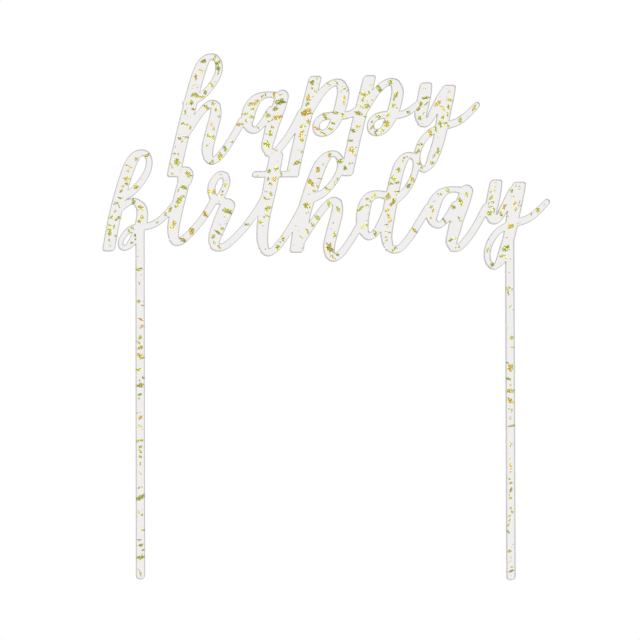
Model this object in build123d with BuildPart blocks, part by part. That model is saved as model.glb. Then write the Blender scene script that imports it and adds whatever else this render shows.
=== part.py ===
"""Cake topper: a two-line script greeting on two stakes, cut from one sheet of clear acrylic.

The sheet is taken to be a laminate: two clear plies bonded by a thin resin film, with scraps of gold leaf
lying in the film. +Z is up and the greeting reads from -Y. The origin is midway between the two stakes,
level with their tips and halfway through the sheet.
"""

import math
import os
import random

from build123d import *

# Driving dimensions, in millimetres
LETTER_HEIGHT = 36.0  # a tall letter from foot to loop: the lettering is drawn in shares of it
PEN_WIDTH = 4.7  # a full downstroke: each pen share below is a share of it
FOOT_RADIUS = 1.4  # rounded corners of a stroke that is cut off level
STAKE_LENGTH = 117.7  # from the tip of a stake up to the foot of the lower word
STAKE_WIDTH = 3.2
TIP_RADIUS = 1.35  # rounded corners of a stake's tip
SHEET_THICKNESS = 3.0  # both plies and the film between them
FILM_THICKNESS = 0.2  # resin film, as thick as the crumpled leaf in it
FLAKE_RADIUS = 2.1  # reach of the largest flake from its middle
FLAKE_GAP = 0.08  # resin left between neighbouring flakes
FLAKE_EDGE = 0.15  # resin left between a flake and the cut edge
FLAKE_LEAST_WIDTH = 0.22  # a scrap narrower than this is not kept

# How a stroke ends: a half circle, a level cut, or a seam with the next stroke of the same line
ROUND = "round"
LEVEL = "level"
SEAM = "seam"

# Each letter's pen strokes: how the stroke starts and ends, then its knots. A knot is its place from the
# letter's own origin, across and up, in shares of LETTER_HEIGHT, and the pen there as a share of PEN_WIDTH.
TALL_H_HEAD_SHARES = [
    (0.180, 0.520, 0.62),
    (0.250, 0.545, 0.58),
    (0.330, 0.592, 0.58),
    (0.405, 0.665, 0.55),
    (0.468, 0.755, 0.54),
    (0.502, 0.840, 0.54),
    (0.503, 0.915, 0.54),
    (0.474, 0.970, 0.50),
    (0.420, 0.987, 0.48),
]
H_ARCH_SHARES = [
    (
        ROUND,
        ROUND,
        [
            (0.100, 0.090, 0.58),
            (0.170, 0.205, 0.58),
            (0.240, 0.312, 0.58),
            (0.310, 0.412, 0.57),
            (0.370, 0.480, 0.58),
            (0.425, 0.512, 0.62),
            (0.472, 0.490, 0.75),
        ],
    ),
    (
        ROUND,
        ROUND,
        [
            (0.472, 0.490, 0.75),
            (0.470, 0.410, 0.88),
            (0.442, 0.290, 0.92),
            (0.410, 0.170, 0.92),
            (0.388, 0.060, 0.90),
            (0.395, -0.022, 0.75),
        ],
    ),
    (
        ROUND,
        ROUND,
        [
            (0.395, -0.022, 0.75),
            (0.438, -0.053, 0.62),
            (0.495, -0.022, 0.60),
            (0.560, 0.055, 0.58),
            (0.620, 0.145, 0.58),
            (0.680, 0.245, 0.58),
            (0.735, 0.345, 0.60),
        ],
    ),
]
LETTER_SHARES = {
    "h": [
        (ROUND, SEAM, TALL_H_HEAD_SHARES),
        (
            SEAM,
            LEVEL,
            [
                (0.420, 0.987, 0.48),
                (0.355, 0.945, 0.77),
                (0.305, 0.875, 0.96),
                (0.260, 0.775, 1.04),
                (0.215, 0.650, 1.06),
                (0.165, 0.490, 1.07),
                (0.120, 0.330, 1.07),
                (0.085, 0.170, 1.06),
                (0.060, -0.005, 1.06),
            ],
        ),
        *H_ARCH_SHARES,
    ],
    "long_h": [
        (ROUND, SEAM, TALL_H_HEAD_SHARES),
        (
            SEAM,
            LEVEL,
            [
                (0.420, 0.987, 0.48),
                (0.363, 0.945, 0.77),
                (0.315, 0.855, 0.96),
                (0.278, 0.745, 1.00),
                (0.225, 0.545, 1.03),
                (0.165, 0.305, 1.03),
                (0.105, 0.055, 1.03),
                (0.047, -0.220, 1.03),
            ],
        ),
        *H_ARCH_SHARES,
    ],
    "a": [
        (
            ROUND,
            ROUND,
            [
                (0.370, 0.598, 0.58),
                (0.280, 0.613, 0.48),
                (0.197, 0.612, 0.50),
                (0.122, 0.578, 0.75),
                (0.062, 0.507, 0.99),
                (0.027, 0.415, 1.04),
                (0.020, 0.335, 0.88),
                (0.043, 0.276, 0.63),
                (0.090, 0.259, 0.54),
                (0.143, 0.295, 0.54),
                (0.200, 0.370, 0.58),
                (0.255, 0.460, 0.60),
            ],
        ),
        (
            ROUND,
            ROUND,
            [
                (0.368, 0.600, 0.98),
                (0.345, 0.530, 1.06),
                (0.303, 0.410, 1.06),
                (0.263, 0.290, 1.02),
                (0.232, 0.170, 0.96),
                (0.215, 0.090, 0.88),
                (0.230, 0.038, 0.70),
            ],
        ),
        (
            ROUND,
            ROUND,
            [
                (0.230, 0.038, 0.70),
                (0.275, 0.032, 0.60),
                (0.335, 0.077, 0.59),
                (0.395, 0.150, 0.59),
                (0.452, 0.235, 0.59),
                (0.505, 0.330, 0.59),
                (0.560, 0.435, 0.60),
            ],
        ),
    ],
    "p": [
        (
            LEVEL,
            LEVEL,
            [
                (0.258, 1.005, 0.94),
                (0.165, 0.640, 0.98),
                (0.070, 0.240, 0.97),
                (0.018, -0.005, 0.95),
            ],
        ),
        (
            ROUND,
            ROUND,
            [
                (0.190, 0.640, 0.60),
                (0.260, 0.755, 0.60),
                (0.320, 0.840, 0.59),
                (0.390, 0.910, 0.57),
                (0.460, 0.941, 0.57),
                (0.512, 0.920, 0.74),
            ],
        ),
        (
            ROUND,
            SEAM,
            [
                (0.512, 0.920, 0.74),
                (0.532, 0.855, 0.92),
                (0.521, 0.760, 0.95),
                (0.495, 0.660, 0.92),
                (0.456, 0.560, 0.84),
                (0.405, 0.475, 0.66),
                (0.335, 0.432, 0.54),
                (0.278, 0.445, 0.54),
            ],
        ),
        (
            SEAM,
            ROUND,
            [
                (0.278, 0.445, 0.54),
                (0.260, 0.500, 0.54),
                (0.290, 0.565, 0.54),
                (0.360, 0.602, 0.55),
                (0.440, 0.610, 0.55),
                (0.540, 0.608, 0.55),
                (0.620, 0.632, 0.55),
                (0.690, 0.678, 0.55),
                (0.755, 0.725, 0.56),
            ],
        ),
    ],
    "y": [
        (
            LEVEL,
            ROUND,
            [
                (-0.032, 0.436, 0.94),
                (-0.052, 0.310, 1.02),
                (-0.074, 0.200, 1.00),
                (-0.090, 0.110, 0.95),
                (-0.075, 0.040, 0.74),
            ],
        ),
        (
            ROUND,
            ROUND,
            [
                (-0.075, 0.040, 0.74),
                (-0.030, 0.034, 0.61),
                (0.018, 0.100, 0.61),
                (0.065, 0.195, 0.64),
                (0.110, 0.285, 0.66),
                (0.155, 0.350, 0.66),
            ],
        ),
        (
            LEVEL,
            SEAM,
            [
                (0.200, 0.414, 1.02),
                (0.172, 0.270, 1.06),
                (0.145, 0.140, 1.03),
                (0.122, 0.010, 0.98),
                (0.098, -0.110, 0.92),
                (0.066, -0.220, 0.88),
                (0.027, -0.325, 0.82),
                (-0.012, -0.400, 0.62),
                (-0.055, -0.436, 0.49),
            ],
        ),
        (
            SEAM,
            ROUND,
            [
                (-0.055, -0.436, 0.49),
                (-0.103, -0.410, 0.48),
                (-0.128, -0.340, 0.49),
                (-0.122, -0.260, 0.51),
                (-0.092, -0.180, 0.53),
                (-0.042, -0.107, 0.54),
                (0.020, -0.055, 0.54),
                (0.105, -0.015, 0.56),
                (0.190, 0.012, 0.58),
                (0.275, 0.042, 0.58),
                (0.350, 0.092, 0.56),
                (0.412, 0.150, 0.53),
                (0.472, 0.213, 0.47),
            ],
        ),
    ],
    "b": [
        (
            ROUND,
            SEAM,
            [
                (0.150, 0.520, 0.60),
                (0.220, 0.545, 0.58),
                (0.290, 0.587, 0.58),
                (0.360, 0.655, 0.57),
                (0.420, 0.738, 0.55),
                (0.460, 0.822, 0.52),
                (0.470, 0.902, 0.50),
                (0.450, 0.963, 0.48),
                (0.400, 0.987, 0.47),
            ],
        ),
        (
            SEAM,
            LEVEL,
            [
                (0.400, 0.987, 0.47),
                (0.335, 0.950, 0.76),
                (0.285, 0.875, 0.91),
                (0.245, 0.775, 0.93),
                (0.200, 0.630, 0.95),
                (0.155, 0.470, 0.95),
                (0.110, 0.270, 0.95),
                (0.062, 0.000, 0.95),
            ],
        ),
        (
            ROUND,
            ROUND,
            [
                (0.130, 0.360, 0.54),
                (0.180, 0.425, 0.54),
                (0.240, 0.474, 0.52),
                (0.300, 0.500, 0.48),
                (0.350, 0.485, 0.58),
            ],
        ),
        (
            ROUND,
            SEAM,
            [
                (0.350, 0.485, 0.58),
                (0.388, 0.440, 0.79),
                (0.401, 0.370, 0.88),
                (0.390, 0.290, 0.88),
                (0.356, 0.200, 0.78),
                (0.312, 0.115, 0.65),
                (0.265, 0.056, 0.53),
                (0.220, 0.034, 0.45),
                (0.187, 0.055, 0.42),
            ],
        ),
        (
            SEAM,
            ROUND,
            [
                (0.187, 0.055, 0.42),
                (0.190, 0.110, 0.42),
                (0.225, 0.170, 0.45),
                (0.280, 0.217, 0.49),
                (0.360, 0.243, 0.54),
                (0.450, 0.252, 0.54),
                (0.520, 0.275, 0.54),
                (0.590, 0.322, 0.54),
                (0.650, 0.382, 0.55),
                (0.720, 0.465, 0.58),
            ],
        ),
    ],
    "i": [
        (ROUND, ROUND, [(0.152, 0.710, 1.22), (0.145, 0.662, 1.15)]),
        (
            ROUND,
            ROUND,
            [
                (0.140, 0.660, 0.86),
                (0.113, 0.550, 0.95),
                (0.080, 0.420, 0.96),
                (0.048, 0.280, 0.95),
                (0.030, 0.160, 0.91),
                (0.035, 0.080, 0.80),
            ],
        ),
        (
            ROUND,
            ROUND,
            [
                (0.035, 0.080, 0.80),
                (0.068, 0.035, 0.62),
                (0.118, 0.052, 0.58),
                (0.180, 0.105, 0.57),
                (0.250, 0.180, 0.57),
                (0.320, 0.265, 0.57),
                (0.380, 0.355, 0.58),
                (0.440, 0.460, 0.60),
            ],
        ),
    ],
    "r": [
        (
            ROUND,
            ROUND,
            [
                (0.060, 0.490, 0.60),
                (0.020, 0.550, 0.60),
                (0.014, 0.630, 0.60),
                (0.045, 0.702, 0.58),
                (0.100, 0.748, 0.57),
                (0.150, 0.738, 0.57),
            ],
        ),
        (
            ROUND,
            ROUND,
            [
                (0.150, 0.738, 0.57),
                (0.163, 0.670, 0.57),
                (0.135, 0.590, 0.58),
                (0.095, 0.510, 0.60),
            ],
        ),
        (ROUND, ROUND, [(0.050, 0.500, 0.60), (0.120, 0.487, 0.62), (0.185, 0.450, 0.72)]),
        (
            ROUND,
            ROUND,
            [
                (0.175, 0.440, 1.12),
                (0.136, 0.360, 1.14),
                (0.098, 0.270, 1.12),
                (0.063, 0.180, 1.05),
                (0.040, 0.100, 0.92),
                (0.045, 0.042, 0.75),
            ],
        ),
        (
            ROUND,
            ROUND,
            [
                (0.045, 0.042, 0.75),
                (0.088, 0.021, 0.59),
                (0.150, 0.040, 0.58),
                (0.220, 0.095, 0.57),
                (0.295, 0.170, 0.57),
                (0.365, 0.250, 0.57),
                (0.430, 0.340, 0.57),
                (0.490, 0.430, 0.57),
                (0.550, 0.540, 0.60),
            ],
        ),
    ],
    "t": [
        (
            ROUND,
            ROUND,
            [
                (0.160, 0.960, 1.05),
                (0.138, 0.850, 1.07),
                (0.113, 0.730, 1.07),
                (0.090, 0.610, 1.05),
                (0.062, 0.480, 1.00),
                (0.036, 0.350, 0.94),
                (0.022, 0.220, 0.90),
                (0.021, 0.110, 0.84),
                (0.043, 0.022, 0.69),
            ],
        ),
        (
            ROUND,
            ROUND,
            [
                (0.043, 0.022, 0.69),
                (0.088, -0.004, 0.59),
                (0.150, 0.035, 0.58),
                (0.215, 0.110, 0.57),
                (0.280, 0.205, 0.57),
                (0.345, 0.310, 0.59),
                (0.420, 0.450, 0.60),
            ],
        ),
        (ROUND, ROUND, [(-0.050, 0.775, 0.48), (0.150, 0.778, 0.46), (0.360, 0.780, 0.45)]),
    ],
    "d": [
        (
            ROUND,
            ROUND,
            [
                (0.070, 0.550, 0.60),
                (-0.010, 0.575, 0.58),
                (-0.090, 0.582, 0.61),
                (-0.155, 0.553, 0.81),
                (-0.200, 0.480, 0.97),
                (-0.222, 0.390, 1.02),
                (-0.228, 0.295, 0.94),
                (-0.210, 0.210, 0.75),
                (-0.162, 0.163, 0.62),
                (-0.110, 0.187, 0.58),
                (-0.060, 0.258, 0.58),
                (-0.010, 0.360, 0.60),
                (0.030, 0.460, 0.60),
            ],
        ),
        (
            ROUND,
            SEAM,
            [
                (0.050, 0.490, 0.60),
                (0.120, 0.535, 0.58),
                (0.190, 0.602, 0.57),
                (0.248, 0.685, 0.54),
                (0.290, 0.775, 0.51),
                (0.310, 0.860, 0.49),
                (0.302, 0.935, 0.48),
                (0.258, 0.976, 0.47),
            ],
        ),
        (
            SEAM,
            ROUND,
            [
                (0.258, 0.976, 0.47),
                (0.198, 0.948, 0.73),
                (0.148, 0.872, 0.90),
                (0.118, 0.780, 0.94),
                (0.093, 0.680, 0.96),
                (0.068, 0.560, 1.00),
                (0.043, 0.430, 1.02),
                (0.023, 0.300, 0.99),
                (0.012, 0.180, 0.89),
                (0.024, 0.092, 0.80),
            ],
        ),
        (
            ROUND,
            ROUND,
            [
                (0.024, 0.092, 0.80),
                (0.066, 0.037, 0.62),
                (0.125, 0.034, 0.59),
                (0.190, 0.085, 0.59),
                (0.255, 0.167, 0.59),
                (0.315, 0.260, 0.59),
                (0.375, 0.360, 0.59),
                (0.430, 0.450, 0.60),
            ],
        ),
    ],
}

# Where each letter's origin lies, across from the middle and up from the foot of the lower word
LETTER_PLACE_SHARES = {
    "upper_h": ("long_h", -1.563, 0.965),
    "upper_a": ("a", -0.793, 0.960),
    "upper_p": ("p", -0.348, 0.760),
    "second_p": ("p", 0.197, 0.770),
    "upper_y": ("y", 1.052, 1.270),
    "lower_b": ("b", -2.228, 0.000),
    "lower_i": ("i", -1.548, 0.060),
    "lower_r": ("r", -1.148, 0.020),
    "lower_t": ("t", -0.648, 0.000),
    "lower_h": ("h", -0.348, 0.000),
    "lower_d": ("d", 0.602, 0.000),
    "lower_a": ("a", 1.052, 0.020),
    "lower_y": ("y", 1.752, 0.300),
}

# Each stake's middle, across, and its root inside the letter that it carries, up from the same line
STAKE_PLACE_SHARES = {"left_stake": (-1.850, 0.235), "right_stake": (1.850, 0.200)}


# Scraps of leaf: their shades, the share of FLAKE_RADIUS that each size has, and how ragged they are
YELLOW = "yellow"
ORANGE = "orange"
LARGE_SHARE = 1.0
MEDIUM_SHARE = 0.68
SMALL_SHARE = 0.45
TINY_SHARE = 0.28
FLAKE_CORNER_COUNTS = (5, 6, 7)
FLAKE_CORNER_SHARES = (0.62, 1.0)
FLAKE_NARROW_SHARES = (0.55, 1.0)

# Where the flakes lie in the photograph, as pixels across and down, with the pixels of its middle line,
# of the lower word's foot, of the stakes' tips and of one LETTER_HEIGHT
MIDDLE_PIXEL = 324.85
FOOT_PIXEL = 252
TIP_PIXEL = 579
LETTER_PIXELS = 100
FLAKE_PIXELS = {
    "upper_h": {
        (YELLOW, LARGE_SHARE): [(213, 86), (194, 104)],
        (YELLOW, MEDIUM_SHARE): [
            (203, 61), (215, 57), (221, 69), (207, 94), (202, 98), (194, 95), (181, 124), (177, 162),
            (207, 109), (216, 130), (220, 157), (179, 139),
        ],
        (YELLOW, SMALL_SHARE): [
            (218, 63), (206, 73), (186, 104), (185, 113), (187, 125), (182, 142), (186, 138), (173, 154),
            (178, 155), (170, 166), (215, 103), (216, 110), (208, 136), (214, 138), (211, 162), (225, 149),
        ],
        (YELLOW, TINY_SHARE): [(218, 74), (172, 174), (220, 117), (207, 146), (232, 142)],
        (ORANGE, LARGE_SHARE): [(199, 70), (192, 129)],
        (ORANGE, MEDIUM_SHARE): [(195, 77), (209, 124), (239, 123)],
        (ORANGE, SMALL_SHARE): [(194, 110)],
    },
    "upper_a": {
        (YELLOW, LARGE_SHARE): [(281, 99)],
        (YELLOW, MEDIUM_SHARE): [
            (247, 103), (254, 110), (271, 107), (267, 115), (270, 133), (267, 144), (274, 152), (276, 157),
        ],
        (YELLOW, SMALL_SHARE): [
            (253, 117), (246, 121), (262, 96), (265, 92), (272, 127), (267, 156), (245, 114),
        ],
        (YELLOW, TINY_SHARE): [(283, 92), (268, 121), (272, 120), (266, 134), (258, 128)],
        (ORANGE, MEDIUM_SHARE): [(258, 104), (274, 93), (278, 117), (282, 158)],
    },
    "upper_p": {
        (YELLOW, LARGE_SHARE): [(339, 81), (325, 116), (343, 116)],
        (YELLOW, MEDIUM_SHARE): [(312, 82), (298, 125), (303, 140), (298, 163), (331, 122)],
        (YELLOW, SMALL_SHARE): [
            (312, 88), (316, 91), (307, 104), (305, 126), (308, 121), (329, 84), (346, 86), (334, 112),
            (323, 135),
        ],
        (YELLOW, TINY_SHARE): [
            (300, 143), (307, 136), (302, 152), (288, 171), (318, 77), (348, 90),
        ],
        (ORANGE, LARGE_SHARE): [(303, 111), (292, 131), (317, 130)],
        (ORANGE, MEDIUM_SHARE): [(306, 97), (331, 129), (346, 100)],
    },
    "second_p": {
        (YELLOW, LARGE_SHARE): [(393, 82)],
        (YELLOW, MEDIUM_SHARE): [
            (362, 93), (368, 106), (356, 112), (349, 163), (380, 89), (396, 94), (390, 104), (379, 116),
            (385, 122), (375, 133),
        ],
        (YELLOW, SMALL_SHARE): [
            (370, 92), (363, 99), (361, 106), (353, 130), (350, 140), (354, 163), (345, 168), (388, 113),
            (384, 132), (409, 112), (358, 126),
        ],
        (YELLOW, TINY_SHARE): [
            (372, 99), (365, 116), (356, 147), (355, 155), (371, 84), (394, 99), (397, 107), (372, 121),
        ],
        (ORANGE, LARGE_SHARE): [(348, 149)],
        (ORANGE, SMALL_SHARE): [(373, 127)],
    },
    "upper_y": {
        (YELLOW, LARGE_SHARE): [(431, 88), (417, 163)],
        (YELLOW, MEDIUM_SHARE): [
            (426, 97), (421, 103), (440, 123), (422, 144), (418, 151), (461, 119), (451, 99),
        ],
        (YELLOW, SMALL_SHARE): [
            (424, 87), (428, 103), (418, 108), (420, 117), (443, 107), (449, 106), (451, 114), (446, 122),
            (436, 128), (439, 136), (450, 129), (438, 150), (434, 155), (434, 163), (421, 169), (443, 116),
        ],
        (YELLOW, TINY_SHARE): [(424, 112)],
        (ORANGE, LARGE_SHARE): [(437, 102), (451, 91), (430, 132), (445, 138), (476, 104)],
        (ORANGE, MEDIUM_SHARE): [(456, 90)],
    },
    "lower_b": {
        (YELLOW, LARGE_SHARE): [(117, 198), (105, 247), (135, 202)],
        (YELLOW, MEDIUM_SHARE): [(128, 180), (110, 233), (113, 250), (170, 210)],
        (YELLOW, SMALL_SHARE): [
            (147, 156), (137, 160), (127, 166), (129, 174), (127, 185), (123, 187), (121, 192), (136, 188),
            (123, 199), (116, 204), (118, 219), (111, 218), (109, 226), (114, 227), (109, 241), (142, 218),
            (139, 222), (129, 232), (132, 229), (135, 236), (137, 242), (138, 248), (165, 214),
        ],
        (YELLOW, TINY_SHARE): [(119, 207), (115, 212), (116, 237), (157, 223)],
        (ORANGE, LARGE_SHARE): [(126, 171)],
        (ORANGE, MEDIUM_SHARE): [(132, 169), (140, 208)],
    },
    "lower_i": {
        (YELLOW, LARGE_SHARE): [(176, 200)],
        (YELLOW, MEDIUM_SHARE): [(192, 175), (185, 188), (182, 240)],
        (YELLOW, SMALL_SHARE): [(184, 197), (176, 207)],
        (YELLOW, TINY_SHARE): [(178, 191)],
        (ORANGE, LARGE_SHARE): [(190, 231), (205, 215)],
        (ORANGE, MEDIUM_SHARE): [(174, 223), (170, 228)],
    },
    "lower_r": {
        (YELLOW, LARGE_SHARE): [(246, 224)],
        (YELLOW, MEDIUM_SHARE): [(219, 174), (226, 186), (217, 193), (228, 211), (218, 233), (212, 237)],
        (YELLOW, SMALL_SHARE): [
            (223, 173), (224, 181), (229, 180), (221, 191), (214, 205), (219, 204), (222, 229), (214, 244),
        ],
        (ORANGE, LARGE_SHARE): [(212, 192)],
        (ORANGE, MEDIUM_SHARE): [(219, 245)],
    },
    "lower_t": {
        (YELLOW, MEDIUM_SHARE): [(271, 194), (262, 198), (269, 209), (284, 240)],
        (YELLOW, SMALL_SHARE): [
            (267, 171), (276, 169), (281, 173), (268, 179), (270, 184), (266, 192), (269, 199), (268, 216),
            (264, 217), (259, 222), (278, 248),
        ],
        (YELLOW, TINY_SHARE): [(262, 191), (280, 242)],
        (ORANGE, MEDIUM_SHARE): [(277, 180)],
    },
    "lower_h": {
        (YELLOW, LARGE_SHARE): [(305, 193), (311, 207), (328, 248)],
        (YELLOW, MEDIUM_SHARE): [(323, 164), (326, 187), (341, 161), (329, 203), (340, 209)],
        (YELLOW, SMALL_SHARE): [
            (326, 167), (314, 191), (306, 213), (311, 213), (306, 230), (314, 226), (318, 218), (337, 235),
            (329, 255), (337, 254),
        ],
        (YELLOW, TINY_SHARE): [(321, 179), (318, 186), (310, 235), (301, 237), (338, 179), (335, 183)],
        (ORANGE, MEDIUM_SHARE): [(318, 169), (332, 157), (310, 182)],
        (ORANGE, SMALL_SHARE): [(310, 194)],
    },
    "lower_d": {
        (YELLOW, LARGE_SHARE): [(409, 185)],
        (YELLOW, MEDIUM_SHARE): [
            (365, 197), (375, 198), (366, 225), (373, 231), (388, 196), (395, 202), (383, 237), (394, 247),
            (392, 177), (402, 156), (408, 157),
        ],
        (YELLOW, SMALL_SHARE): [
            (372, 202), (360, 208), (386, 224), (386, 231), (391, 232), (388, 237), (386, 242), (391, 183),
            (397, 182), (397, 191), (399, 169),
        ],
        (YELLOW, TINY_SHARE): [(367, 205)],
        (ORANGE, LARGE_SHARE): [(389, 216), (404, 161)],
        (ORANGE, MEDIUM_SHARE): [(387, 210), (390, 221), (413, 179), (412, 228)],
    },
    "lower_a": {
        (YELLOW, LARGE_SHARE): [(443, 195)],
        (YELLOW, MEDIUM_SHARE): [(447, 188), (428, 199), (431, 206), (459, 200), (450, 239), (459, 246)],
        (YELLOW, SMALL_SHARE): [
            (438, 193), (435, 200), (431, 217), (442, 218), (465, 186), (465, 190), (469, 184), (472, 187),
            (454, 204), (459, 217), (461, 220), (455, 238), (452, 248),
        ],
        (ORANGE, LARGE_SHARE): [(435, 210)],
    },
    "lower_y": {
        (YELLOW, LARGE_SHARE): [(500, 186)],
        (YELLOW, MEDIUM_SHARE): [
            (491, 181), (490, 196), (501, 213), (481, 221), (523, 182), (520, 188), (506, 247), (494, 266),
            (509, 260), (510, 272),
        ],
        (YELLOW, SMALL_SHARE): [
            (496, 179), (495, 183), (495, 189), (488, 190), (493, 201), (488, 202), (494, 209), (514, 182),
            (511, 187), (519, 204), (521, 201), (488, 249), (505, 268), (538, 208), (548, 200),
        ],
        (YELLOW, TINY_SHARE): [(513, 195), (507, 236), (531, 212)],
        (ORANGE, LARGE_SHARE): [(512, 202)],
        (ORANGE, MEDIUM_SHARE): [(486, 205), (505, 206), (516, 208), (511, 225), (544, 204)],
    },
    "left_stake": {
        (YELLOW, LARGE_SHARE): [(139, 452), (139, 474), (140, 498)],
        (YELLOW, MEDIUM_SHARE): [
            (139, 338), (142, 386), (138, 395), (142, 441), (141, 447), (137, 457), (143, 545), (140, 557),
            (143, 573),
        ],
        (YELLOW, SMALL_SHARE): [
            (138, 270), (137, 302), (136, 343), (138, 370), (138, 399), (137, 412), (140, 413), (138, 426),
            (143, 428), (136, 472), (143, 487), (138, 488), (137, 512), (143, 515), (137, 540), (136, 570),
            (141, 577),
        ],
        (YELLOW, TINY_SHARE): [
            (139, 284), (143, 306), (143, 378), (139, 381), (140, 464), (143, 530), (143, 550),
        ],
        (ORANGE, LARGE_SHARE): [(139, 418)],
        (ORANGE, MEDIUM_SHARE): [(140, 348), (141, 357)],
        (ORANGE, SMALL_SHARE): [(140, 320), (141, 327)],
    },
    "right_stake": {
        (YELLOW, LARGE_SHARE): [(512, 390)],
        (YELLOW, MEDIUM_SHARE): [(509, 445), (511, 457), (511, 489), (511, 497), (511, 555), (507, 570)],
        (YELLOW, SMALL_SHARE): [
            (507, 287), (508, 292), (512, 337), (508, 378), (507, 408), (512, 410), (513, 425), (512, 443),
            (508, 458), (508, 478), (507, 494), (510, 507), (512, 511), (508, 515), (507, 519), (507, 550),
            (506, 561), (511, 566), (509, 575),
        ],
        (YELLOW, TINY_SHARE): [
            (512, 288), (510, 306), (512, 346), (507, 362), (510, 384), (507, 524), (507, 531),
        ],
        (ORANGE, LARGE_SHARE): [(508, 367), (509, 400), (508, 468), (512, 471), (511, 578)],
        (ORANGE, MEDIUM_SHARE): [(506, 416), (510, 418), (512, 464), (511, 482), (507, 557), (510, 560)],
    },
}


def along_at(before, here, after):
    """Direction of a line through three points, at the middle one."""
    arriving = here - before
    leaving = after - here
    return (arriving / arriving.length**2 + leaving / leaving.length**2).normalized()


def stroke_end(cap, centre, half, outward):
    """Draws one end of a stroke, and returns the two points where the stroke's sides meet it."""
    across = Vector(-outward.Y, outward.X)
    if cap == LEVEL:
        level = Vector(math.copysign(1, across.X), 0)
        reach = half / abs(outward.Y)
        corners = [centre + level * reach, centre - level * reach]
        sides = [corner - outward * FOOT_RADIUS for corner in corners]
        inner = [corners[0] - level * FOOT_RADIUS, corners[1] + level * FOOT_RADIUS]
        Bezier(sides[0], corners[0], inner[0])
        Line(inner[0], inner[1])
        Bezier(inner[1], corners[1], sides[1])
        return sides
    sides = [centre + across * half, centre - across * half]
    if cap == ROUND:
        ThreePointArc(sides[0], centre + outward * half, sides[1])
    else:
        Line(sides[0], sides[1])
    return sides


def stroke_face(centres, halves, alongs, start_cap, end_cap):
    """One pen stroke as a face."""
    with BuildLine(mode=Mode.PRIVATE) as stroke:
        start_right, start_left = stroke_end(start_cap, centres[0], halves[0], -alongs[0])
        end_left, end_right = stroke_end(end_cap, centres[-1], halves[-1], alongs[-1])
        offsets = [Vector(-along.Y, along.X) * half for along, half in zip(alongs, halves)]
        lefts = [centre + offset for centre, offset in zip(centres, offsets)]
        rights = [centre - offset for centre, offset in zip(centres, offsets)]
        Spline(start_left, *lefts[1:-1], end_left)
        Spline(start_right, *rights[1:-1], end_right)
    return make_face(stroke.edges(), mode=Mode.PRIVATE)


def letter_lines(shape, across_share, up_share):
    """Centre points and half widths of each stroke of one letter."""
    origin = Vector(across_share, up_share) * LETTER_HEIGHT + Vector(0, STAKE_LENGTH)
    lines = []
    for _, _, knots in LETTER_SHARES[shape]:
        centres = [origin + Vector(x, z) * LETTER_HEIGHT for x, z, pen in knots]
        lines.append((centres, [pen * PEN_WIDTH / 2 for x, z, pen in knots]))
    return lines


def letter_sketch(shape, across_share, up_share):
    """One letter, its strokes joined."""
    lines = letter_lines(shape, across_share, up_share)
    with BuildSketch(mode=Mode.PRIVATE) as letter:
        for index, (start_cap, end_cap, _) in enumerate(LETTER_SHARES[shape]):
            centres, halves = lines[index]
            alongs = [along_at(*centres[knot - 1 : knot + 2]) for knot in range(1, len(centres) - 1)]
            first = (centres[1] - centres[0]).normalized()
            last = (centres[-1] - centres[-2]).normalized()
            if start_cap == SEAM:
                first = along_at(lines[index - 1][0][-2], centres[0], centres[1])
            if end_cap == SEAM:
                last = along_at(centres[-2], centres[-1], lines[index + 1][0][1])
            add(stroke_face(centres, halves, [first, *alongs, last], start_cap, end_cap))
    return letter.sketch_local


def stake_face(across_share, root_share):
    """One stake as a face, from its rounded tip to its root in a letter."""
    middle = across_share * LETTER_HEIGHT
    root = STAKE_LENGTH + root_share * LETTER_HEIGHT
    with BuildLine(mode=Mode.PRIVATE) as stake_line:
        FilletPolyline(
            (middle - STAKE_WIDTH / 2, root),
            (middle - STAKE_WIDTH / 2, 0),
            (middle + STAKE_WIDTH / 2, 0),
            (middle + STAKE_WIDTH / 2, root),
            radius=TIP_RADIUS,
        )
        Line((middle + STAKE_WIDTH / 2, root), (middle - STAKE_WIDTH / 2, root))
    return make_face(stake_line.edges(), mode=Mode.PRIVATE)


# The cut outline of the whole sheet: every letter and both stakes, as one face with its counters
with BuildSketch() as outline:
    for letter in LETTER_PLACE_SHARES.values():
        add(letter_sketch(*letter))
    for stake in STAKE_PLACE_SHARES.values():
        add(stake_face(*stake))


def drawn_in(end, inner, length):
    """The end of a stroke's centre line, drawn in along it."""
    along = inner - end
    return end + along * min(1, length / along.length)


def flake_bands(name):
    """Lengths of stroke that flakes lie in, as (start, half width there, end, half width there)."""
    if name in STAKE_PLACE_SHARES:
        x = STAKE_PLACE_SHARES[name][0] * LETTER_HEIGHT
        half = STAKE_WIDTH / 2
        return [(Vector(x, half), half, Vector(x, STAKE_LENGTH), half)]
    bands = []
    for centres, halves in letter_lines(*LETTER_PLACE_SHARES[name]):
        start = drawn_in(centres[0], centres[1], halves[0])
        end = drawn_in(centres[-1], centres[-2], halves[-1])
        points = [start, *centres[1:-1], end]
        bands.extend(zip(points, halves, points[1:], halves[1:]))
    return bands


def flake_place(bands, wanted, radius):
    """Middle and reach of one flake, moved where it has to be to lie inside the nearest stroke."""
    fits = []
    for start, start_half, end, end_half in bands:
        along = end - start
        part = min(max((wanted - start).dot(along) / max(along.dot(along), FLAKE_GAP**2), 0), 1)
        centre = start + along * part
        half = start_half + (end_half - start_half) * part
        fits.append(((wanted - centre).length - half, centre, half))
    _, centre, half = min(fits, key=lambda fit: fit[0])
    reach = min(radius, half - FLAKE_EDGE)
    room = half - FLAKE_EDGE - reach
    offset = wanted - centre
    return centre + offset * min(1, room / max(offset.length, FLAKE_GAP)), reach


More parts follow.
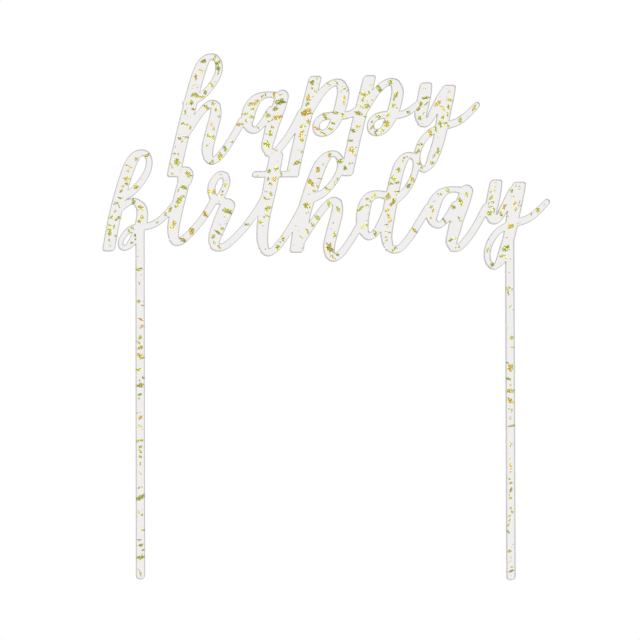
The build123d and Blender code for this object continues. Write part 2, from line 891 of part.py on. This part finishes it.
flake_rows = []
for name, sizes in FLAKE_PIXELS.items():
    bands = flake_bands(name)
    for (shade, size_share), pixels in sizes.items():
        for across, down in pixels:
            x = (across - MIDDLE_PIXEL) * LETTER_HEIGHT / LETTER_PIXELS
            z = STAKE_LENGTH + (FOOT_PIXEL - down) * LETTER_HEIGHT / LETTER_PIXELS
            if name in STAKE_PLACE_SHARES:
                z = STAKE_LENGTH * (TIP_PIXEL - down) / (TIP_PIXEL - FOOT_PIXEL)
            middle, radius = flake_place(bands, Vector(x, z), size_share * FLAKE_RADIUS)
            if radius > FLAKE_LEAST_WIDTH / 2:
                seed = f"{name} {across} {down}"
                flake_rows.append((f"{shade}_flakes_{name}", seed, middle.X, middle.Y, radius))


cut_points = []
for edge in outline.sketch_local.edges():
    count = math.ceil(edge.length / (2 * FLAKE_EDGE))
    along_shares = [step / count for step in range(count)]
    cut_points.extend((point.X, point.Y) for point in edge.positions(along_shares))


def flake_reach(seed, x, z, radius):
    """How far a flake may reach: clear of the cut edge, and sharing the room with its neighbours."""
    reach = min(math.hypot(cut_x - x, cut_z - z) for cut_x, cut_z in cut_points) - FLAKE_EDGE
    for _, other_seed, other_x, other_z, other_radius in flake_rows:
        if other_seed != seed:
            room = math.hypot(other_x - x, other_z - z) - FLAKE_GAP
            reach = min(reach, room * radius / (radius + other_radius))
    return min(reach, radius)


def flake_face(seed, x, z, reach):
    """An irregular scrap of leaf, drawn out one way."""
    chance = random.Random(seed)
    count = chance.choice(FLAKE_CORNER_COUNTS)
    turn = chance.uniform(0, 360)
    narrow_share = chance.uniform(*FLAKE_NARROW_SHARES)
    corners = []
    for corner in range(count):
        angle = math.radians(360 * (corner + chance.uniform(-1, 1) / count) / count)
        length = reach * chance.uniform(*FLAKE_CORNER_SHARES)
        point = Vector(length * math.cos(angle), length * narrow_share * math.sin(angle))
        corners.append(Vector(x, z) + point.rotate(Axis.Z, turn))
    return Face(Wire.make_polygon(corners))


flakes_by_node = {}
for node, seed, x, z, radius in flake_rows:
    reach = flake_reach(seed, x, z, radius)
    if reach > FLAKE_LEAST_WIDTH / 2:
        flakes_by_node.setdefault(node, []).append(flake_face(seed, x, z, reach))

os.makedirs("parts", exist_ok=True)

# Front and rear plies, either side of the film
PLY_THICKNESS = (SHEET_THICKNESS - FILM_THICKNESS) / 2
FILM_BACK = -FILM_THICKNESS / 2

with BuildPart() as front_sheet:
    with BuildSketch(Plane.XZ.offset(FILM_BACK + FILM_THICKNESS)):
        add(outline.sketch_local)
    extrude(amount=PLY_THICKNESS, clean=False)
front_sheet.part.label = "front_sheet"
export_step(front_sheet.part, "parts/front_sheet.step")

with BuildPart() as rear_sheet:
    with BuildSketch(Plane.XZ.offset(FILM_BACK)):
        add(outline.sketch_local)
    extrude(amount=-PLY_THICKNESS, clean=False)
rear_sheet.part.label = "rear_sheet"
export_step(rear_sheet.part, "parts/rear_sheet.step")

# Resin film, which fills the space round every flake
outline_face = outline.sketch_local.face()
flake_wires = [face.outer_wire() for faces in flakes_by_node.values() for face in faces]
with BuildPart() as resin_film:
    with BuildSketch(Plane.XZ.offset(FILM_BACK)):
        add(Face(outline_face.outer_wire(), [*outline_face.inner_wires(), *flake_wires]))
    extrude(amount=FILM_THICKNESS, clean=False)
resin_film.part.label = "resin_film"
export_step(resin_film.part, "parts/resin_film.step")

# Gold leaf flakes, one group for each shade in each letter and stake
for node, faces in flakes_by_node.items():
    with BuildPart() as flakes:
        with BuildSketch(Plane.XZ.offset(FILM_BACK)):
            add(faces)
        extrude(amount=FILM_THICKNESS, clean=False)
    flakes.part.label = node
    export_step(flakes.part, f"parts/{node}.step")
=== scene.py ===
import math
import random

import bmesh
import bpy
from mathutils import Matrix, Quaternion, Vector
from mathutils.kdtree import KDTree


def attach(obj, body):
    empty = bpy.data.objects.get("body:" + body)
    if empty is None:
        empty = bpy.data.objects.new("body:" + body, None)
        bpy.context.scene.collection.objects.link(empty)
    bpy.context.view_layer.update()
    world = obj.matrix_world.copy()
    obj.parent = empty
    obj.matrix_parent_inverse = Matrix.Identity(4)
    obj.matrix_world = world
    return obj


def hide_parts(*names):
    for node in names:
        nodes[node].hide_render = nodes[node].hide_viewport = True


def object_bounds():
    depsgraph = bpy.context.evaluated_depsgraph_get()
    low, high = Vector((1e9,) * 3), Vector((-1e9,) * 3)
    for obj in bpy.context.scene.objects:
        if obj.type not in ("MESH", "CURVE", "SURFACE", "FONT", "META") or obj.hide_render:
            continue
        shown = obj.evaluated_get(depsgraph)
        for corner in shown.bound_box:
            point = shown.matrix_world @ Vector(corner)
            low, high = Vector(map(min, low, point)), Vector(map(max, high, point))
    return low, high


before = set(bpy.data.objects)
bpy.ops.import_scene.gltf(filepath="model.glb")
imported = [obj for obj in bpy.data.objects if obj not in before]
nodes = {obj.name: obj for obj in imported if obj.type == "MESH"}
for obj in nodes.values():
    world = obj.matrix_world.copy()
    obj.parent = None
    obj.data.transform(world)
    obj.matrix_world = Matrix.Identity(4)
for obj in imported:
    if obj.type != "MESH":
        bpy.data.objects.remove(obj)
cad_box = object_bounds()
scene = bpy.context.scene
low, high = cad_box

# Sheet, with a small rounded arris along its cut edge
SHEET_THICKNESS = high[1] - low[1]
ARRIS = 0.00026
ARRIS_STEPS = 3
MERGE = 1e-7
FRONT_NORMAL = -0.99

# Acrylic, clear on its faces and satin where it is cut; the grey of its faces is partly painted shade, the
# dark of its cut is painted shade
ACRYLIC_IOR = 1.49
# Grey of the faces: partly the acrylic's own tint, partly painted shade
CLEAR_TINT_AND_PAINTED_SHADE = (0.872, 0.860, 0.850, 1.0)
CLEAR_ROUGHNESS = 0.02
CUT_SLOT = 1
# Darker colour of the cut edge: painted shade, drawing the edge as a dark line
CUT_PAINTED_SHADE_COLOUR = (0.40, 0.395, 0.395, 1.0)
CUT_ROUGHNESS = 0.3
CUT_MARKS = (2200.0, 80.0, 2200.0)
CUT_MARK_DEPTH = 0.00002
CUT_MARK_STRENGTH = 0.15

# Leaf: lean and crumple are slopes, so they grow with the scrap
FOIL_THICKNESS = 0.00004
FOIL_SPREAD = 1.18
FOIL_STRETCHES = (1.0, 1.55)
FOIL_LIFT = 0.0002
FOIL_LEAN = 0.10
FOIL_CRUMPLE = 0.06
FOIL_RINGS = (0.55, 1.0)
EDGE_PARTS = 4
EDGE_JITTER = 0.36

# Colours of the leaf, as red, green and blue
LEAF_ROUGHNESS = 0.27
TINTS = {
    "yellow": [(0.76, 0.74, 0.13), (0.82, 0.79, 0.17), (0.68, 0.68, 0.12), (0.60, 0.58, 0.13)],
    "orange": [(0.90, 0.68, 0.13), (0.92, 0.73, 0.17), (0.86, 0.64, 0.11)],
}
TINT_WARMTHS = (0.90, 1.07)
TINT_LEVELS = (0.86, 1.05)

# How the leaf is kept inside the sheet
FOIL_MARGIN = 0.00012
CUT_STEP = 0.0001
PULL = 0.85
PULL_STEPS = 12

# Specks
SPECK_COUNT = 220
SPECK_RADIUS = 0.00030
SPECK_SHARES = (0.35, 1.0)
SPECK_TURNS = (0.0, 1.3, 2.9, 4.4)

# Light and floor
WHITE = (1.0, 1.0, 1.0, 1.0)
AMBIENT = (0.7, 0.7, 0.7, 1.0)
LAMP_POWER = 8.0
LAMP_SIZE = 0.6
LAMP_PLACE = Vector((0.6, -1.0, 0.9))
LAMP_TARGET = Vector((0.0, 0.0, 0.12))
FLOOR_DROP = 0.6
FLOOR_REACH = 40.0
FLOOR_COLOUR = (0.95, 0.95, 0.95, 1.0)
FLOOR_GLOW = 0.3

# Camera, a little to the left and low, so that the left and lower cut edges show
VIEW_MIDDLE = Vector((-0.0019, 0.0, 0.0933))
VIEW_WIDTH = 0.2305
VIEW_DISTANCE = 4.0
VIEW_LEFT = math.radians(5.0)
VIEW_LOW = math.radians(4.5)
VIEW_ROLL = math.radians(-0.15)
SENSOR = 36.0


def material(name, settings):
    """A material with some inputs of its main shader set, and that shader."""
    made = bpy.data.materials.new(name)
    made.use_nodes = True
    shader = made.node_tree.nodes["Principled BSDF"]
    for label, value in settings.items():
        shader.inputs[label].default_value = value
    return made, shader


def link_object(name, data):
    """A new object in the scene."""
    made = bpy.data.objects.new(name, data)
    scene.collection.objects.link(made)
    return made


def add_piece(name, mesh, paint, slot, *replaced):
    """Links a finished mesh as a piece of the object."""
    piece = link_object(name, mesh)
    mesh.materials.append(paint)
    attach(piece, "root")
    if replaced:
        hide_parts(*replaced)


def left_of(direction):
    """The direction a quarter turn to the left of another."""
    return Vector((-direction.y, direction.x))


def ring_pairs(ring):
    """Each point of a ring with the one after it."""
    return zip(ring, ring[1:] + ring[:1])


# Clear acrylic, whose grey is partly its own tint and partly painted shade
acrylic, shader = material(
    "acrylic",
    {
        "Base Color": CLEAR_TINT_AND_PAINTED_SHADE,
        "Roughness": CLEAR_ROUGHNESS,
        "IOR": ACRYLIC_IOR,
        "Transmission Weight": 1.0,
    },
)

# The same acrylic where it is cut: satin, with fine marks of the cut across the edge, and a darker colour
# that is painted shade, drawing the cut edge as a dark line
cut_acrylic_with_painted_shade, shader = material(
    "cut_acrylic_with_painted_shade",
    {
        "Base Color": CUT_PAINTED_SHADE_COLOUR,
        "Roughness": CUT_ROUGHNESS,
        "IOR": ACRYLIC_IOR,
        "Transmission Weight": 1.0,
    },
)
tree = cut_acrylic_with_painted_shade.node_tree
coordinates = tree.nodes.new("ShaderNodeTexCoord")
scaled = tree.nodes.new("ShaderNodeMapping")
scaled.inputs["Scale"].default_value = CUT_MARKS
marks = tree.nodes.new("ShaderNodeTexNoise")
marks.inputs["Scale"].default_value = 1.0
bump = tree.nodes.new("ShaderNodeBump")
bump.inputs["Strength"].default_value = CUT_MARK_STRENGTH
bump.inputs["Distance"].default_value = CUT_MARK_DEPTH
tree.links.new(coordinates.outputs["Object"], scaled.inputs["Vector"])
tree.links.new(scaled.outputs["Vector"], marks.inputs["Vector"])
tree.links.new(marks.outputs["Fac"], bump.inputs["Height"])
tree.links.new(bump.outputs["Normal"], shader.inputs["Normal"])

# Gold leaf, with a tint of its own for each scrap
gold, shader = material("gold_leaf", {"Metallic": 1.0, "Roughness": LEAF_ROUGHNESS})
tint = gold.node_tree.nodes.new("ShaderNodeVertexColor")
tint.layer_name = "tint"
gold.node_tree.links.new(tint.outputs["Color"], shader.inputs["Base Color"])


def faces_front(face):
    """Whether a face looks out of the front of the sheet."""
    return face.normal.y < FRONT_NORMAL


def outline_rings(node):
    """The front outlines of a node as rings of (x, z), each with the material on its left."""
    work = bmesh.new()
    work.from_mesh(nodes[node].data)
    bmesh.ops.remove_doubles(work, verts=work.verts, dist=MERGE)
    work.normal_update()
    following = {}
    for face in filter(faces_front, work.faces):
        for corner in face.loops:
            if sum(map(faces_front, corner.edge.link_faces)) == 1:
                following[corner.vert] = corner.link_loop_next.vert
    rings = []
    while following:
        start, here = following.popitem()
        ring = [start]
        while here is not start:
            ring.append(here)
            here = following.pop(here)
        rings.append([Vector((vert.co.x, vert.co.z)) for vert in ring])
    work.free()
    return sorted(rings, key=lambda ring: (ring[0].x, ring[0].y))


def inward_at(ring, index):
    """Unit direction from a point of the outline into the material."""
    return left_of((ring[(index + 1) % len(ring)] - ring[index - 1]).normalized())


def edge_profile():
    """The cut edge from the front face to the back one, as (inset, y, turn of the normal)."""
    front = []
    for step in range(ARRIS_STEPS + 1):
        turn = math.pi / 2 * step / ARRIS_STEPS
        inset = ARRIS * (1 - math.sin(turn))
        front.append((inset, -SHEET_THICKNESS / 2 + ARRIS * (1 - math.cos(turn)), turn))
    return front + [(inset, -y, math.pi - turn) for inset, y, turn in reversed(front)]


def sheet_mesh(name, rings):
    """A closed sheet with rounded arrises, whose normals are set so that its faces look flat."""
    work = bmesh.new()
    normals = []
    front_edges = []
    back_edges = []
    for ring in rings:
        rows = []
        for inset, y, turn in edge_profile():
            row = []
            for index, point in enumerate(ring):
                inward = inward_at(ring, index)
                row.append(work.verts.new((point.x + inward.x * inset, y, point.y + inward.y * inset)))
                across = math.sin(turn)
                normals.append((-inward.x * across, -math.cos(turn), -inward.y * across))
            rows.append(row)
        for row, row_behind in zip(rows, rows[1:]):
            for (here, after), (behind, after_behind) in zip(ring_pairs(row), ring_pairs(row_behind)):
                face = work.faces.new((after, here, behind, after_behind))
                face.material_index = CUT_SLOT
        front_edges.extend(work.edges.get(pair) for pair in ring_pairs(rows[0]))
        back_edges.extend(work.edges.get(pair) for pair in ring_pairs(rows[-1]))
    bmesh.ops.triangle_fill(work, use_beauty=True, edges=front_edges)
    bmesh.ops.triangle_fill(work, use_beauty=True, edges=back_edges)
    bmesh.ops.recalc_face_normals(work, faces=work.faces)
    mesh = bpy.data.meshes.new(name)
    work.to_mesh(mesh)
    work.free()
    mesh.shade_smooth()
    mesh.normals_split_custom_set_from_vertices(normals)
    return mesh


# One clear sheet in place of the two plies and the film, with the satin cut and its painted shade as its
# second material
sheet_rings = outline_rings("front_sheet")
mesh = sheet_mesh("acrylic_sheet", sheet_rings)
add_piece("acrylic_sheet", mesh, acrylic, "acrylic", "front_sheet", "rear_sheet", "resin_film")
mesh.materials.append(cut_acrylic_with_painted_shade)

# Points of the cut edge, close together, to keep the leaf inside the sheet
cut_points = []
for ring in sheet_rings:
    for point, after in ring_pairs(ring):
        steps = math.ceil((after - point).length / CUT_STEP)
        inward = left_of((after - point).normalized())
        cut_points.extend((point.lerp(after, step / steps), inward) for step in range(steps))
cut_tree = KDTree(len(cut_points))
for index, (point, inward) in enumerate(cut_points):
    cut_tree.insert((point.x, point.y, 0.0), index)
cut_tree.balance()


def depth_in_sheet(point):
    """How far a point is inside the cut edge."""
    index, distance = cut_tree.find((point.x, point.y, 0.0))[1:]
    edge_point, inward = cut_points[index]
    return math.copysign(distance, (point - edge_point).dot(inward))


def kept_inside(middle, point):
    """A point of a scrap's rim, drawn back towards the scrap's middle until it is inside the sheet."""
    for step in range(PULL_STEPS):
        if depth_in_sheet(point) > FOIL_MARGIN:
            break
        point = middle.lerp(point, PULL)
    return point


def torn_rim(chance, corners, middle):
    """The rim of a scrap: its outline, drawn out along a random direction, spread and made ragged."""
    turn = chance.uniform(0, math.pi)
    stretch = chance.uniform(*FOIL_STRETCHES)
    along = Vector((math.cos(turn), math.sin(turn)))
    across = left_of(along)
    rim = []
    for corner, after in ring_pairs(corners):
        for part in range(EDGE_PARTS):
            offset = corner.lerp(after, part / EDGE_PARTS) - middle
            drawn = along * offset.dot(along) * stretch + across * offset.dot(across) / stretch
            spread = FOIL_SPREAD * (1 + chance.uniform(-EDGE_JITTER, EDGE_JITTER))
            rim.append(kept_inside(middle, middle + drawn * spread))
    return rim


def leaf_colour(chance, shade):
    """One of the shade's tints, made a little warmer or cooler, and lighter or darker."""
    red, green, blue = chance.choice(TINTS[shade])
    red *= chance.uniform(*TINT_WARMTHS)
    level = chance.uniform(*TINT_LEVELS)
    return (*(min(1.0, channel * level) for channel in (red, green, blue)), 1.0)


def scrap_faces(front, back, count):
    """Faces of a closed scrap, each side a middle point, an inner ring and an outer ring of count points."""
    faces = []
    for i in range(count):
        inner, outer = 1 + i, 1 + count + i
        inner_next, outer_next = 1 + (i + 1) % count, 1 + count + (i + 1) % count
        for face in ((0, inner, inner_next), (inner, outer, outer_next, inner_next)):
            faces.append([front + corner for corner in face])
            faces.append([back + corner for corner in reversed(face)])
        faces.append((front + outer, back + outer, back + outer_next, front + outer_next))
    return faces


def foil_mesh(name, outlines, shade):
    """Crumpled scraps of leaf, one for each outline."""
    chance = random.Random(name)
    verts, faces, colours = [], [], []
    for corners in outlines:
        middle = sum(corners, Vector((0.0, 0.0))) / len(corners)
        crumple = FOIL_CRUMPLE * max((corner - middle).length for corner in corners)
        rim = torn_rim(chance, corners, middle)
        lift = chance.uniform(-FOIL_LIFT, FOIL_LIFT)
        lean_x = chance.uniform(-FOIL_LEAN, FOIL_LEAN)
        lean_z = chance.uniform(-FOIL_LEAN, FOIL_LEAN)
        colour = leaf_colour(chance, shade)
        points = [(middle.x, lift, middle.y)]
        for share in FOIL_RINGS:
            for rim_point in rim:
                point = middle.lerp(rim_point, share)
                offset = point - middle
                y = lift + offset.x * lean_x + offset.y * lean_z + chance.uniform(-crumple, crumple)
                points.append((point.x, y, point.y))
        faces.extend(scrap_faces(len(verts), len(verts) + len(points), len(rim)))
        for side in (-FOIL_THICKNESS / 2, FOIL_THICKNESS / 2):
            verts.extend((x, y + side, z) for x, y, z in points)
            colours.extend([colour] * len(points))
    mesh = bpy.data.meshes.new(name)
    mesh.from_pydata(verts, [], faces)
    layer = mesh.color_attributes.new("tint", "FLOAT_COLOR", "POINT")
    for item, colour in zip(layer.data, colours):
        item.color = colour
    return mesh


# A crumpled scrap for each flake
for node in sorted(nodes):
    if "_flakes_" in node:
        shade = node.split("_")[0]
        mesh = foil_mesh("foil_" + node, outline_rings(node), shade)
        add_piece("foil_" + node, mesh, gold, shade + "_gold", node)

# Specks of leaf too small for the solids, scattered through the sheet
chance = random.Random("specks")
specks = []
while len(specks) < SPECK_COUNT:
    middle = Vector((chance.uniform(low[0], high[0]), chance.uniform(low[2], high[2])))
    if depth_in_sheet(middle) > SPECK_RADIUS + FOIL_MARGIN:
        reach = SPECK_RADIUS * chance.uniform(*SPECK_SHARES)
        corners = [Vector((reach * math.cos(turn), reach * math.sin(turn))) for turn in SPECK_TURNS]
        specks.append([middle + corner for corner in corners])
add_piece("foil_specks", foil_mesh("foil_specks", specks, "yellow"), gold, "yellow_gold")


def seen_rays(tree):
    """A socket that is 1 for the rays of the camera, the metal and the clear sheet, and 0 for all others."""
    path = tree.nodes.new("ShaderNodeLightPath")
    seen = path.outputs["Is Camera Ray"]
    for ray in ("Is Glossy Ray", "Is Transmission Ray"):
        either = tree.nodes.new("ShaderNodeMath")
        either.operation = "MAXIMUM"
        tree.links.new(seen, either.inputs[0])
        tree.links.new(path.outputs[ray], either.inputs[1])
        seen = either.outputs[0]
    return seen


# White surroundings for what the camera, the metal and the clear sheet see
world = bpy.data.worlds.new("surroundings")
scene.world = world
world.use_nodes = True
tree = world.node_tree
background = tree.nodes["Background"]
mix = tree.nodes.new("ShaderNodeMix")
mix.data_type = "RGBA"
mix.inputs["A"].default_value = AMBIENT
mix.inputs["B"].default_value = WHITE
tree.links.new(seen_rays(tree), mix.inputs["Factor"])
tree.links.new(mix.outputs["Result"], background.inputs["Color"])
background.inputs["Strength"].default_value = 1.0

# Pale floor, below the camera, which looks up at the object a little
floor_paint, shader = material(
    "floor",
    {
        "Base Color": FLOOR_COLOUR,
        "Roughness": 1.0,
        "Specular IOR Level": 0.0,
        "Emission Color": WHITE,
    },
)
tree = floor_paint.node_tree
glow = tree.nodes.new("ShaderNodeMath")
glow.operation = "MULTIPLY"
glow.inputs[1].default_value = FLOOR_GLOW
tree.links.new(seen_rays(tree), glow.inputs[0])
tree.links.new(glow.outputs[0], shader.inputs["Emission Strength"])
floor_signs = ((-1, -1), (1, -1), (1, 1), (-1, 1))
floor_corners = [(x * FLOOR_REACH, y * FLOOR_REACH, -FLOOR_DROP) for x, y in floor_signs]
floor_mesh = bpy.data.meshes.new("floor")
floor_mesh.from_pydata(floor_corners, [], [(0, 1, 2, 3)])
floor_mesh.materials.append(floor_paint)
floor = link_object("floor", floor_mesh)

# One soft lamp, from the right and above
lamp = bpy.data.lights.new("key", "AREA")
lamp.energy = LAMP_POWER
lamp.size = LAMP_SIZE
lamp_object = link_object("key", lamp)
lamp_object.location = LAMP_PLACE
lamp_object.rotation_euler = (LAMP_TARGET - LAMP_PLACE).to_track_quat("-Z", "Y").to_euler()

camera = bpy.data.cameras.new("camera")
camera.sensor_width = SENSOR
camera.lens = SENSOR * VIEW_DISTANCE / VIEW_WIDTH / math.cos(VIEW_LEFT)
camera_object = link_object("camera", camera)
view_from = Vector((-math.sin(VIEW_LEFT), -math.cos(VIEW_LEFT), 0.0)) * math.cos(VIEW_LOW)
view_from.z = -math.sin(VIEW_LOW)
camera_object.location = VIEW_MIDDLE + view_from * VIEW_DISTANCE
facing = (-view_from).to_track_quat("-Z", "Y") @ Quaternion((0.0, 0.0, 1.0), VIEW_ROLL)
camera_object.rotation_euler = facing.to_euler()
scene.camera = camera_object

scene.view_settings.view_transform = "Standard"
